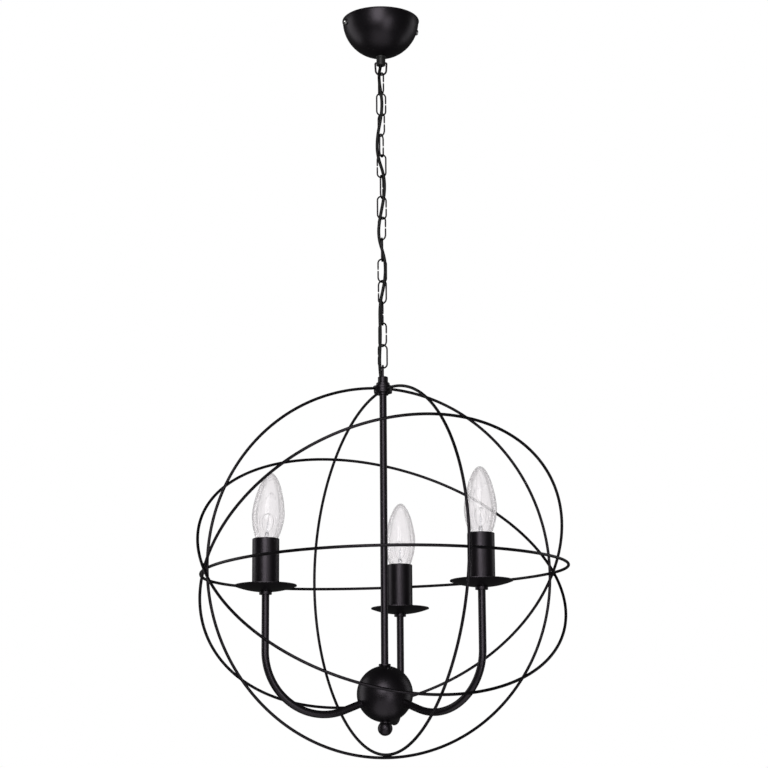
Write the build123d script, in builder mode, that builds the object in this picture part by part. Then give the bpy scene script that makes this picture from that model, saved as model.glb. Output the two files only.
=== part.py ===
from build123d import *
import os
from math import sin, cos, tan, atan2, radians, degrees, pi, sqrt, hypot

# Wire orb chandelier hung by a chain. Millimetres, +Z up.
# Origin: centre of the canopy's mounting plane, on the ceiling. +X runs to one
# of the two nodes where the leaning hoops cross.

# ---------------------------------------------------------------- dimensions
view_az = -21.73  # direction of the "across" axis that the chain is laid out on

# canopy and bracket
canopy_r = 43.3
canopy_wall = 1.0
rim_bead_r = 0.9
side_screw_z = -7.5
bracket_hole_span = 50.0
bracket_hole_r = 2.3
bracket_t = 1.5
bracket_w = 14.0
bracket_tab_x = 38.6

# cord grip and bail
grip_r = 5.1
grip_ring_r = 5.7
grip_top_z = -43.32
grip_bottom_z = -54.2
grip_bore_r = 2.4
bail_wire_r = 1.1
bail_pivot_z = -51.0
bail_bottom_z = -65.25

# chain
link_wire_r = 0.9
link_width = 12.0
link_length = 28.15
link_pitch = 24.45
link_gap = 1.4
first_link_top_z = -62.25
# turn of each link's plane from the across axis, and the side of its open seam
link_turns = [122, 10, 132, 67, 160, 75, 18, 141, 84, 26, 147, 85, 143, 21]
link_seam = [-1, 1, -1, 1, 1, 1, 1, -1, 1, -1, 1, 1, -1, -1]

# supply cable, round flex
cable_r = 1.8

# loop, collar and hoop stack
loop_wire_r = 1.2
loop_half = 4.2
loop_apex_z = -405.15
collar_top_z = -417.5
collar_r = 5.6
collar_step_z = -424.3
collar_flange_r = 7.5
collar_bottom_z = -428.28
washer1_r = 11.0
washer1_z = (-428.3, -430.9)
washer2_r = 10.2
washer2_z = (-430.92, -433.92)
stack_washer_r = 10.0
stack_washer_z = (-433.94, -435.6)
stack_nut_r = 5.95
stack_nut_z = (-435.62, -437.9)

# centre tube
rod_r = 4.0
rod_bore_r = 3.0
rod_top_z = -427.0
rod_bottom_z = -757.0

# hoops: wire radius, orb centre, and for each a mean radius with its ovality
hoop_wire_r = 1.6
orb_z = -629.65

# hub
hub_z = -763.4
hub_r = 30.0
hub_wall = 1.3
hub_ring_r = 6.5
core_r = 10.0
finial_neck_r = 5.5
finial_ball_r = 7.9
finial_ball_z = -799.6

# arms and lamps
arm_r = 4.0
arm_bore_r = 3.0
# candle glass: radius at each height over its seat, eased through these points
glass_marks = [(5.95, 0.6), (6.6, 2.8), (8.2, 5.8), (11.6, 11.8), (14.4, 19.6), (16.4, 28.0), (17.3, 37.0), (16.7, 46.0), (15.1, 54.5), (12.9, 63.5), (10.6, 70.0), (7.9, 75.8), (5.0, 80.0), (2.4, 82.3), (0.0, 82.8)]
glass_wall = 0.7


def eased(marks, steps):
    """Points on a smooth curve through all marks, which meets the axis square on."""
    marks = [(2 * marks[0][0] - marks[1][0], 2 * marks[0][1] - marks[1][1])] + marks + [(-marks[-2][0], marks[-2][1])]
    points = []
    for a, b, c, d in zip(marks, marks[1:], marks[2:], marks[3:]):
        for k in range(steps):
            t = k / steps
            points.append(tuple(0.5 * (2 * q + (r - p) * t + (2 * p - 5 * q + 4 * r - s) * t**2 + (3 * q - p - 3 * r + s) * t**3) for p, q, r, s in zip(a, b, c, d)))
    return points + [marks[-2]]


glass_outer = [(5.95, -4.6)] + eased(glass_marks, 3)
glass_inner = [(5.25, -4.6)] + eased([(x - glass_wall, z) for x, z in glass_marks[:-3]] + [(4.3, 79.3), (2.0, 81.5), (0.0, 82.0)], 3)

# each lamp: name, azimuth, drop, lean of its glass, distance from the axis, slope and bend of its arm
lamps = [
    ("left", 180.0, 0.0, 3.7, 134.4, 21.5, 64.5),
    ("rear", 60.5, -4.7, 1.0, 132.0, 23.8, 62.0),
    ("right", -60.4, 0.0, 0.0, 129.4, 21.5, 61.8),
]
pan_r = 33.0
pan_z = -659.6
pan_curve_r = 92.0
pan_t = 0.9
pan_nut_r = 6.7
cup_r = 14.3
cup_wall = 1.0
cup_top_z = -603.5
cup_floor_z = -657.55
holder_r = 12.0
holder_top_z = -616.5
lead_r = 1.1

fit = 0.03  # radial clearance of a shaft or thread in its hole

os.makedirs("parts", exist_ok=True)
across = Vector(cos(radians(view_az)), sin(radians(view_az)), 0)
away = Vector(-sin(radians(view_az)), cos(radians(view_az)), 0)
up = Vector(0, 0, 1)


def place(u, v, z):
    """Point from its distance across, its distance away, and its height."""
    return across * u + away * v + up * z


def upright(direction, z):
    """Vertical plane through the axis: x along direction, y up."""
    return Plane(origin=(0, 0, z), x_dir=direction, z_dir=direction.cross(up))


# -------------------------------------------------------------- ceiling parts
with BuildPart() as bracket:
    with BuildSketch(Plane.XY.offset(-bracket_t)):
        Rectangle(2 * bracket_tab_x, bracket_w)
        with Locations((-bracket_hole_span / 2, 0), (bracket_hole_span / 2, 0)):
            Circle(bracket_hole_r, mode=Mode.SUBTRACT)
    extrude(amount=bracket_t)
    for side in (-1, 1):
        with BuildSketch(Plane.XY.offset(-12)):
            with Locations((side * (bracket_tab_x - bracket_t / 2), 0)):
                Rectangle(bracket_t, bracket_w)
        extrude(amount=12 - bracket_t)
    with BuildSketch(Plane.YZ.offset(-50)):
        with Locations((0, side_screw_z)):
            Circle(2.0 + fit)
    extrude(amount=100, mode=Mode.SUBTRACT)
    # tapped holes for the terminal block's screw
    with BuildSketch(Plane.XY.offset(-bracket_t)):
        with Locations((0, -4.0)):
            Circle(1.5 + fit)
    extrude(amount=bracket_t, mode=Mode.SUBTRACT)
bracket.part.label = "ceiling_bracket"
export_step(bracket.part, "parts/ceiling_bracket.step")

with BuildPart() as canopy:
    with BuildSketch(Plane.XZ):
        with BuildLine():
            CenterArc((0, 0), canopy_r, -90, 90)
            CenterArc((0, 0), canopy_r - canopy_wall, -90, 90)
            Line((canopy_r - canopy_wall, 0), (canopy_r, 0))
            Line((0, -canopy_r), (0, -canopy_r + canopy_wall))
        make_face()
    revolve(axis=Axis.Z)
    with BuildSketch(Plane.XZ):
        with Locations((canopy_r - 0.35, -rim_bead_r)):
            Circle(rim_bead_r)
    revolve(axis=Axis.Z)
    with BuildSketch(Plane.XY.offset(-50)):
        Circle(4.9 + 0.1)
    extrude(amount=20, mode=Mode.SUBTRACT)
    with BuildSketch(Plane.YZ.offset(-60)):
        with Locations((0, side_screw_z)):
            Circle(2.2)
    extrude(amount=120, mode=Mode.SUBTRACT)
canopy.part.label = "canopy"
export_step(canopy.part, "parts/canopy.step")

with BuildPart() as canopy_screws:
    for side in (-1, 1):
        face_out = Plane(origin=(side * 35.5, 0, side_screw_z), x_dir=(0, side, 0), z_dir=(side, 0, 0))
        with BuildSketch(face_out):
            Circle(2.0)
        extrude(amount=8.2)
        with BuildSketch(face_out.offset(7.65)):
            Circle(3.4)
        extrude(amount=1.5)
        with BuildSketch(face_out.offset(9.15)):
            Circle(3.4)
        extrude(amount=0.9, taper=32)
        with BuildSketch(face_out.offset(9.3)):
            Rectangle(0.8, 7.4)
        extrude(amount=1.2, mode=Mode.SUBTRACT)
canopy_screws.part.label = "canopy_screws"
export_step(canopy_screws.part, "parts/canopy_screws.step")

with BuildPart() as terminal:
    with BuildSketch(Plane.XY.offset(-14.0)):
        RectangleRounded(24, 16, 1.5)
    extrude(amount=12.45)
    with BuildSketch(Plane.XY.offset(-9.0)):
        with Locations((-6.5, 0), (6.5, 0)):
            Rectangle(7.0, 16.2)
    extrude(amount=7.6, mode=Mode.SUBTRACT)
    with BuildSketch(Plane.XY.offset(-14.2)):
        with Locations((-6.5, 0), (6.5, 0)):
            Circle(1.9)
    extrude(amount=4.6, mode=Mode.SUBTRACT)
    with BuildSketch(Plane.XY.offset(-14.2)):
        with Locations((0, -4.0)):
            Circle(1.6)
    extrude(amount=13, mode=Mode.SUBTRACT)
    # the cable's way in
    with BuildSketch(Plane.XY.offset(-14.2)):
        with Locations((0, 4.5)):
            Circle(cable_r + 0.1)
    extrude(amount=5.2, mode=Mode.SUBTRACT)
terminal.part.label = "terminal_block"
export_step(terminal.part, "parts/terminal_block.step")

with BuildPart() as terminal_screws:
    for x in (-6.5, 6.5):
        with BuildSketch(Plane.XY.offset(-13.4)):
            with Locations((x, 0)):
                Circle(1.85)
        extrude(amount=3.4)
    with BuildSketch(Plane.XY.offset(-14.02)):
        with Locations((0, -4.0)):
            Circle(1.5)
    extrude(amount=13.4)
    with BuildSketch(Plane.XY.offset(-15.62)):
        with Locations((0, -4.0)):
            Circle(2.8)
            Rectangle(6.4, 0.7, mode=Mode.SUBTRACT)
    extrude(amount=1.6)
terminal_screws.part.label = "terminal_screws"
export_step(terminal_screws.part, "parts/terminal_screws.step")

with BuildPart() as grip:
    with BuildSketch(Plane.XZ):
        with BuildLine():
            Polyline(
                (grip_bore_r, -38.5),
                (4.9, -38.5),
                (4.9, grip_top_z),
                (grip_ring_r, grip_top_z),
                (grip_ring_r, -45.4),
                (grip_r, -45.6),
                (grip_r, grip_bottom_z + 0.5),
                (grip_r - 0.5, grip_bottom_z),
                (3.5, grip_bottom_z),
                (grip_bore_r, grip_bottom_z + 1.9),
                close=True,
            )
        make_face()
    revolve(axis=Axis.Z)
    with BuildSketch(Plane(origin=across * -8 + up * bail_pivot_z, x_dir=away, z_dir=across)):
        Circle(bail_wire_r + 0.1)
    extrude(amount=16, mode=Mode.SUBTRACT)
grip.part.label = "cord_grip"
export_step(grip.part, "parts/cord_grip.step")

with BuildPart() as grip_nut:
    with BuildSketch(Plane.XY.offset(-41.5)):
        RegularPolygon(7.6, 6)
        Circle(4.9 + fit, mode=Mode.SUBTRACT)
    extrude(amount=2.6)
grip_nut.part.label = "grip_lock_nut"
export_step(grip_nut.part, "parts/grip_lock_nut.step")

# ------------------------------------------------------------ bail and chain
with BuildPart() as bail:
    with BuildLine(upright(across, 0)) as bail_line:
        FilletPolyline(
            (3.2, bail_pivot_z),
            (6.5, bail_pivot_z),
            (5.75, bail_bottom_z),
            (-5.75, bail_bottom_z),
            (-6.5, bail_pivot_z),
            (-3.2, bail_pivot_z),
            radius=[1.25, 5.4, 5.4, 1.25],
        )
    with BuildSketch(Plane(origin=bail_line.line @ 0, z_dir=bail_line.line % 0)):
        Circle(bail_wire_r)
    sweep()
bail.part.label = "canopy_bail"
export_step(bail.part, "parts/canopy_bail.step")

bow = (link_width - 2 * link_wire_r) / 2
for number, (turn, seam) in enumerate(zip(link_turns, link_seam), start=1):
    top = first_link_top_z - link_pitch * (number - 1) - link_wire_r
    bottom = top - link_length + 2 * link_wire_r
    mid = (top + bottom) / 2
    direction = across * cos(radians(turn)) + away * sin(radians(turn))
    with BuildPart() as link:
        with BuildLine(upright(direction * seam, 0)) as link_line:
            Line((bow, mid + link_gap / 2), (bow, top - bow))
            CenterArc((0, top - bow), bow, 0, 180)
            Line((-bow, top - bow), (-bow, bottom + bow))
            CenterArc((0, bottom + bow), bow, 180, 180)
            Line((bow, bottom + bow), (bow, mid - link_gap / 2))
        with BuildSketch(Plane(origin=link_line.line @ 0, z_dir=link_line.line % 0)):
            Circle(link_wire_r)
        sweep()
    link.part.label = "chain_link_%02d" % number
    export_step(link.part, "parts/chain_link_%02d.step" % number)

# ------------------------------------------------------------- supply cable
# One round flex from the terminal block, through the grip, woven down the
# chain, into the collar beside the loop, and down the centre tube to the hub.
cable_route = [
    (-1.67, 4.18, -9.30),
    (-1.67, 4.18, -17.50),
    (0.0, 0.25, -30.0),
    (0.0, 0.0, -44.0),
    (0.0, 0.0, -53.0),
    (-2.30, -3.24, -65.00),
    (-1.95, -5.11, -76.60),
    (-0.22, -5.79, -88.20),
    (0.96, -5.65, -99.80),
    (0.52, -4.85, -111.40),
    (-1.28, -3.33, -123.00),
    (-3.65, -1.81, -134.60),
    (-4.86, -1.15, -146.20),
    (-4.81, -1.35, -157.80),
    (-2.43, -2.25, -169.40),
    (1.13, -3.48, -181.00),
    (3.14, -4.32, -192.60),
    (3.22, -4.61, -204.20),
    (1.80, -4.57, -215.80),
    (-0.40, -4.23, -227.40),
    (-2.57, -3.46, -239.00),
    (-3.92, -2.34, -250.60),
    (-2.97, -1.63, -262.20),
    (0.46, -1.82, -273.80),
    (3.09, -2.60, -285.40),
    (3.60, -3.68, -297.00),
    (2.71, -4.92, -308.60),
    (0.68, -6.11, -320.20),
    (-1.88, -7.13, -331.80),
    (-2.90, -7.62, -343.40),
    (-2.84, -7.72, -355.00),
    (-2.51, -7.81, -366.60),
    (-2.63, -7.84, -378.20),
    (-3.16, -7.37, -389.80),
    (-3.64, -5.50, -401.40),
    (-2.55, -1.10, -418.00),
    (-0.50, -0.20, -429.50),
    (0.0, 0.0, -442.0),
    (0.0, 0.0, -759.98),
]
cable_points = [place(*p) for p in cable_route]


def bend_radii(points):
    """Largest tangent arc at each corner: 0.45 of the shorter run over tan(half turn)."""
    radii = []
    for a, b, c in zip(points, points[1:], points[2:]):
        turn = (b - a).get_angle(c - b)
        shorter = min((b - a).length, (c - b).length)
        radii.append(0.45 * shorter / tan(radians(turn) / 2))
    return radii


cable_radii = bend_radii(cable_points)
print("supply cable bend radii (mm):", [round(r, 1) for r in cable_radii])
with BuildPart() as cable:
    with BuildLine() as cable_line:
        FilletPolyline(*cable_points, radius=cable_radii)
    cable_length = sum(edge.length for edge in cable_line.edges())
    with BuildSketch(Plane(origin=cable_line.line @ 0, z_dir=cable_line.line % 0)):
        Circle(cable_r)
    sweep()
print(
    "supply cable length %.1f, volume %.1f, section x length %.1f"
    % (cable_length, cable.part.volume, pi * cable_r**2 * cable_length)
)
cable.part.label = "supply_cable"
export_step(cable.part, "parts/supply_cable.step")

# ----------------------------------------------------- loop, collar and stack
with BuildPart() as loop:
    with BuildLine(upright(away, 0)) as loop_line:
        Line((-loop_half, collar_top_z - 2.2), (-loop_half, loop_apex_z - loop_half))
        CenterArc((0, loop_apex_z - loop_half), loop_half, 180, -180)
        Line((loop_half, loop_apex_z - loop_half), (loop_half, collar_top_z - 2.2))
    with BuildSketch(Plane(origin=loop_line.line @ 0, z_dir=loop_line.line % 0)):
        Circle(loop_wire_r)
    sweep()
loop.part.label = "top_loop"
export_step(loop.part, "parts/top_loop.step")

with BuildPart() as collar:
    with BuildSketch(Plane.XY.offset(collar_bottom_z)):
        Circle(collar_r)
    extrude(amount=collar_top_z - collar_bottom_z)
    fillet(collar.edges().sort_by(Axis.Z)[-1], 1.1)
    with BuildSketch(Plane.XY.offset(collar_bottom_z)):
        Circle(collar_flange_r)
    extrude(amount=collar_step_z - collar_bottom_z)
    chamfer(collar.edges().filter_by(GeomType.CIRCLE).filter_by(lambda e: abs(e.radius - collar_flange_r) < 0.01).sort_by(Axis.Z)[-1], 0.6)
    with BuildSketch(Plane.XY.offset(collar_bottom_z)):
        Circle(rod_r + fit)
    extrude(amount=1.8, mode=Mode.SUBTRACT)
    with BuildSketch(Plane.XY.offset(collar_bottom_z + 1.8)):
        Circle(4.7)
    extrude(amount=collar_top_z - 2.5 - collar_bottom_z - 1.8, mode=Mode.SUBTRACT)
    for side in (-1, 1):
        with BuildSketch(Plane(origin=place(0, side * loop_half, collar_top_z - 2.3), z_dir=up)):
            Circle(loop_wire_r + fit)
        extrude(amount=3, mode=Mode.SUBTRACT)
    with BuildSketch(Plane(origin=place(-2.4, -0.95, collar_top_z - 3), z_dir=up)):
        Circle(2.35)
    extrude(amount=4, mode=Mode.SUBTRACT)
collar.part.label = "top_collar"
export_step(collar.part, "parts/top_collar.step")

with BuildPart() as stack_nut:
    with BuildSketch(Plane.XY.offset(stack_washer_z[1])):
        Circle(stack_washer_r)
        Circle(rod_r + fit, mode=Mode.SUBTRACT)
    extrude(amount=stack_washer_z[0] - stack_washer_z[1])
    with BuildSketch(Plane.XY.offset(stack_nut_z[1])):
        Circle(stack_nut_r)
        Circle(rod_r + fit, mode=Mode.SUBTRACT)
    extrude(amount=stack_nut_z[0] - stack_nut_z[1])
stack_nut.part.label = "stack_washer_and_nut"
export_step(stack_nut.part, "parts/stack_washer_and_nut.step")

with BuildPart() as rod:
    with BuildSketch(Plane.XY.offset(rod_bottom_z)):
        Circle(rod_r)
        Circle(rod_bore_r, mode=Mode.SUBTRACT)
    extrude(amount=rod_top_z - rod_bottom_z)
rod.part.label = "centre_tube"
export_step(rod.part, "parts/centre_tube.step")


# -------------------------------------------------------------------- hoops
# Each hoop is a hand-welded wire ring, a little oval and a little out of flat.
cross_az = radians(92.65)
cross_dir = Vector(cos(cross_az), sin(cross_az), 0)
lean_dip = radians(0.38)
lean_u = Vector(cos(lean_dip), 0, sin(lean_dip))
lean_w = Vector(-sin(lean_dip), 0, cos(lean_dip))
level_dip = radians(0.97)
level_u = Vector(cos(level_dip), 0, sin(level_dip))
level_w = Vector(-sin(level_dip), 0, cos(level_dip))
rear = Vector(0, 1, 0)


# the outer leaning hoop is flat: mean radius, how oval it is and which way
outer_mean, outer_oval, outer_lean = 203.25, hypot(1.90, 0.33), atan2(0.33, 1.90)


def leaning(angle):
    return rear * cos(radians(angle)) - lean_w * sin(radians(angle))


# first direction, second direction, centre, then how radius and bow out of the
# hoop's plane change with the angle t from the first direction to the second
hoops = {
    "upright_hoop_long": (Vector(1, 0, 0), up, Vector(0, 0, orb_z - 0.80), lambda t: 199.19 - 0.64 * cos(2 * t) + 1.77 * sin(2 * t), lambda t: 0.0),
    "upright_hoop_cross": (
        cross_dir,
        up,
        cross_dir * -1.1 + Vector(0, 0, orb_z - 0.10),
        lambda t: 198.90 + 1.65 * cos(2 * t) - 1.67 * sin(2 * t) - 0.08 * (1 - sin(t)),
        lambda t: 2.54 * (1 - sin(t)) + 0.96 * cos(t) - 1.75 * sin(2 * t) - 0.59 * (1 + cos(2 * t)) - 1.17 * cos(3 * t),
    ),
    "level_hoop": (
        level_u,
        rear * cos(radians(-0.6)) - level_w * sin(radians(-0.6)),
        Vector(0, 0, orb_z),
        lambda t: 198.70 - 1.13 * cos(2 * t) + 0.45 * sin(2 * t) - 1.1 * sin(t),
        lambda t: -1.19 + 1.52 * cos(t) - 0.62 * sin(t) - 0.64 * cos(2 * t) + 1.61 * sin(2 * t),
    ),
    "leaning_hoop_inner": (
        lean_u,
        leaning(43.04),
        Vector(0, 0, orb_z),
        lambda t: 205.49 - 3.61 * cos(2 * t) + 0.39 * sin(2 * t),
        lambda t: -0.09 + 2.77 * cos(t) + 4.7 * sin(t) - 1.14 * cos(2 * t) - 1.89 * sin(2 * t),
    ),
    "leaning_hoop_outer": (lean_u, leaning(-45.63), Vector(0, 0, orb_z), lambda t: outer_mean + outer_oval * cos(2 * t - outer_lean), lambda t: 0.0),
}
washers = {"upright_hoop_long": (washer1_r, washer1_z), "upright_hoop_cross": (washer2_r, washer2_z)}


def hoop_point(name, t):
    u, v, centre, radius, bow_out = hoops[name]
    r = radius(t)
    return centre + u * (r * cos(t)) + v * (r * sin(t)) + u.cross(v) * bow_out(t)


def crossing(name, other, t):
    """Angle on a hoop, near t, where another hoop passes closest to it."""
    ring = [hoop_point(other, 2 * pi * k / 1440) for k in range(1440)]
    ring = [q for q in ring if (q - hoop_point(name, t)).length < 25]
    reach_t = 0.08
    for attempt in range(3):
        tries = [t + reach_t * (k / 12 - 1) for k in range(25)]
        t = min(tries, key=lambda a: min((hoop_point(name, a) - q).length for q in ring))
        reach_t /= 6
    return t


for name in hoops:
    runs = []
    if name in washers:
        # open at the top: the two ends are welded to a washer
        stop = 8.0 / 199.0
        runs.append((pi / 2 + stop, 5 * pi / 2 - stop, 48))
    elif name == "level_hoop":
        # four quarter arcs, butted against the upright hoops
        gap = (hoop_wire_r + 0.10) / 199.0
        marks = [
            crossing(name, "upright_hoop_long", 0.0),
            crossing(name, "upright_hoop_cross", cross_az),
            crossing(name, "upright_hoop_long", pi),
            crossing(name, "upright_hoop_cross", cross_az + pi),
        ]
        marks.append(marks[0] + 2 * pi)
        runs += [(a + gap, b - gap, 12) for a, b in zip(marks, marks[1:])]
        print("level hoop butts at", [round(degrees(m), 2) for m in marks])
    with BuildPart() as hoop:
        for start, end, count in runs:
            with BuildLine() as arc_line:
                Spline(*[hoop_point(name, start + (end - start) * k / count) for k in range(count + 1)])
            with BuildSketch(Plane(origin=arc_line.line @ 0, z_dir=arc_line.line % 0)):
                Circle(hoop_wire_r)
            sweep()
        if name == "leaning_hoop_outer":
            # a flat oval ring of four tangent arcs
            u, v, centre, radius, bow_out = hoops[name]
            with BuildLine(Plane(origin=centre, x_dir=u, z_dir=u.cross(v))) as arc_line:
                for quarter in range(4):
                    turned = outer_lean / 2 + pi / 2 * quarter
                    far = (3.414213562 if quarter % 2 == 0 else -3.414213562) * outer_oval
                    bend = outer_mean + (-2.414213562 if quarter % 2 == 0 else 2.414213562) * outer_oval
                    CenterArc((far * cos(turned), far * sin(turned)), bend, degrees(turned) - 45, 90)
            with BuildSketch(Plane(origin=arc_line.line @ 0, z_dir=arc_line.line % 0)):
                Circle(hoop_wire_r)
            sweep()
        for quarter in range(4 if name == "leaning_hoop_inner" else 0):
            # a closed ring, swept as four quarters
            marks = [pi * (quarter / 2 + 0.25 + k / 20) for k in range(11)]
            ways = [(hoop_point(name, a + 1e-4) - hoop_point(name, a - 1e-4)).normalized() for a in marks]
            with BuildLine() as arc_line:
                Spline(*[hoop_point(name, a) for a in marks], tangents=[ways[0], ways[-1]])
            with BuildSketch(Plane(origin=hoop_point(name, marks[0]), z_dir=ways[0])):
                Circle(hoop_wire_r)
            sweep()
        if name in washers:
            outer, (high, low) = washers[name]
            with Locations((0, 0, orb_z + 199)):
                Cylinder(outer - 0.1, 20, mode=Mode.SUBTRACT)
            with BuildSketch(Plane.XY.offset(low)):
                Circle(outer)
                Circle(rod_r + fit, mode=Mode.SUBTRACT)
            extrude(amount=high - low)
    hoop.part.label = name
    export_step(hoop.part, "parts/%s.step" % name)

# ---------------------------------------------------------------------- hub
with BuildPart() as hub_ring:
    with BuildSketch(Plane.XY.offset(-733.62)):
        Circle(hub_ring_r)
        Circle(rod_r + fit, mode=Mode.SUBTRACT)
    extrude(amount=1.95)
    fillet(hub_ring.edges().filter_by(GeomType.CIRCLE).group_by(Axis.Z)[-1].sort_by(SortBy.RADIUS)[-1], 0.5)
hub_ring.part.label = "hub_ring"
export_step(hub_ring.part, "parts/hub_ring.step")

with BuildPart() as hub_upper:
    with BuildSketch(Plane.XZ):
        with BuildLine():
            CenterArc((0, hub_z), hub_r, 0, 90)
            CenterArc((0, hub_z), hub_r - hub_wall, 0, 90)
            Line((hub_r - hub_wall, hub_z), (hub_r, hub_z))
            Line((0, hub_z + hub_r - hub_wall), (0, hub_z + hub_r))
        make_face()
    revolve(axis=Axis.Z)
    with BuildSketch(Plane.XY.offset(hub_z + 20)):
        Circle(rod_r + fit)
    extrude(amount=15, mode=Mode.SUBTRACT)
    with BuildSketch(Plane.XY.offset(hub_z - 0.1)):
        Rectangle(70, 70)
    extrude(amount=0.11, mode=Mode.SUBTRACT)
hub_upper.part.label = "hub_upper_shell"
export_step(hub_upper.part, "parts/hub_upper_shell.step")


def arm_dir(azimuth):
    return Vector(cos(radians(azimuth)), sin(radians(azimuth)), 0)


def arm_axis(azimuth, slope):
    return arm_dir(azimuth) * cos(radians(slope)) - up * sin(radians(slope))


with BuildPart() as hub_lower:
    with BuildSketch(Plane.XZ):
        with BuildLine():
            CenterArc((0, hub_z), hub_r, -90, 90)
            CenterArc((0, hub_z), hub_r - hub_wall, -90, 90)
            Line((hub_r - hub_wall, hub_z), (hub_r, hub_z))
            Line((0, hub_z - hub_r + hub_wall), (0, hub_z - hub_r))
        make_face()
    revolve(axis=Axis.Z)
    with BuildSketch(Plane.XY.offset(hub_z - 35)):
        Circle(2.9 + fit)
    extrude(amount=15, mode=Mode.SUBTRACT)
    for lamp, azimuth, drop, tip, reach, slope, bend in lamps:
        with BuildSketch(Plane(origin=up * hub_z + arm_axis(azimuth, slope) * 20, z_dir=arm_axis(azimuth, slope))):
            Circle(arm_r + fit)
        extrude(amount=20, mode=Mode.SUBTRACT)
    with BuildSketch(Plane.XY.offset(hub_z - 0.01)):
        Rectangle(70, 70)
    extrude(amount=0.11, mode=Mode.SUBTRACT)
hub_lower.part.label = "hub_lower_shell"
export_step(hub_lower.part, "parts/hub_lower_shell.step")

with BuildPart() as core:
    with BuildSketch(Plane.XY.offset(hub_z - 10)):
        Circle(core_r)
    extrude(amount=20)
    with BuildSketch(Plane.XY.offset(hub_z - 6.5)):
        Circle(7.0)
    extrude(amount=12.5, mode=Mode.SUBTRACT)
    with BuildSketch(Plane.XY.offset(hub_z)):
        Circle(rod_r + fit)
    extrude(amount=12, mode=Mode.SUBTRACT)
    with BuildSketch(Plane.XY.offset(hub_z - 12)):
        Circle(2.9 + fit)
    extrude(amount=8, mode=Mode.SUBTRACT)
    for lamp, azimuth, drop, tip, reach, slope, bend in lamps:
        with BuildSketch(Plane(origin=up * hub_z + arm_axis(azimuth, slope) * 3, z_dir=arm_axis(azimuth, slope))):
            Circle(arm_r + fit)
        extrude(amount=14, mode=Mode.SUBTRACT)
core.part.label = "hub_core"
export_step(core.part, "parts/hub_core.step")

with BuildPart() as finial:
    with BuildSketch(Plane.XY.offset(finial_ball_z)):
        Circle(finial_neck_r)
    extrude(amount=hub_z - hub_r + 2 - finial_ball_z)
    with BuildSketch(Plane.XZ):
        with BuildLine():
            CenterArc((0, finial_ball_z), finial_ball_r, -90, 180)
            Line((0, finial_ball_z - finial_ball_r), (0, finial_ball_z + finial_ball_r))
        make_face()
    revolve(axis=Axis.Z)
    # seat for the hub's ball
    with BuildSketch(Plane.XZ):
        with BuildLine():
            CenterArc((0, hub_z), hub_r + 0.02, -90, 90)
            Polyline((0, hub_z - hub_r - 0.02), (0, hub_z), (hub_r + 0.02, hub_z))
        make_face()
    revolve(axis=Axis.Z, mode=Mode.SUBTRACT)
    with BuildSketch(Plane.XY.offset(finial_ball_z)):
        Circle(2.9)
    extrude(amount=hub_z - 7.5 - finial_ball_z)
finial.part.label = "finial"
export_step(finial.part, "parts/finial.step")

# --------------------------------------------------------------------- arms
def arm_route(reach, slope, start, end):
    """Corners of an arm's centreline: out of the hub, the dip, the lamp's foot."""
    return [
        (start * cos(radians(slope)), -start * sin(radians(slope))),
        (reach, -reach * tan(radians(slope))),
        (reach, end - hub_z),
    ]


for lamp, azimuth, drop, tip, reach, slope, bend in lamps:
    with BuildPart() as arm:
        with BuildLine(upright(arm_dir(azimuth), hub_z)) as arm_line:
            FilletPolyline(*arm_route(reach, slope, 8.3, -651.5 + drop), radius=bend)
        with BuildSketch(Plane(origin=arm_line.line @ 0, z_dir=arm_line.line % 0)):
            Circle(arm_r)
            Circle(arm_bore_r, mode=Mode.SUBTRACT)
        sweep()
    arm.part.label = "arm_%s" % lamp
    export_step(arm.part, "parts/arm_%s.step" % lamp)

with BuildPart() as leads:
    for lamp, azimuth, drop, tip, reach, slope, bend in lamps:
        with BuildLine(upright(arm_dir(azimuth), hub_z)) as lead_line:
            FilletPolyline(*arm_route(reach, slope, 4.2, -646.2 + drop), radius=bend)
        with BuildSketch(Plane(origin=lead_line.line @ 0, z_dir=lead_line.line % 0)):
            Circle(lead_r)
        sweep()
    # closed-end splice in the hub's core
    with BuildSketch(Plane.XY.offset(hub_z + 3.4 - 9.0)):
        Circle(2.7)
    extrude(amount=9.0)
leads.part.label = "lamp_leads"
export_step(leads.part, "parts/lamp_leads.step")

with BuildPart() as pan_nuts:
    for lamp, azimuth, drop, tip, reach, slope, bend in lamps:
        with BuildSketch(Plane(origin=arm_dir(azimuth) * reach + up * (-662.4 + drop), z_dir=up)):
            Circle(pan_nut_r)
            Circle(arm_r + fit, mode=Mode.SUBTRACT)
        extrude(amount=2.75)
pan_nuts.part.label = "pan_nuts"
export_step(pan_nuts.part, "parts/pan_nuts.step")


def dish(radius, r):
    """Height of the dish's underside curve above its lowest point."""
    return radius - sqrt(radius**2 - r**2)


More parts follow.
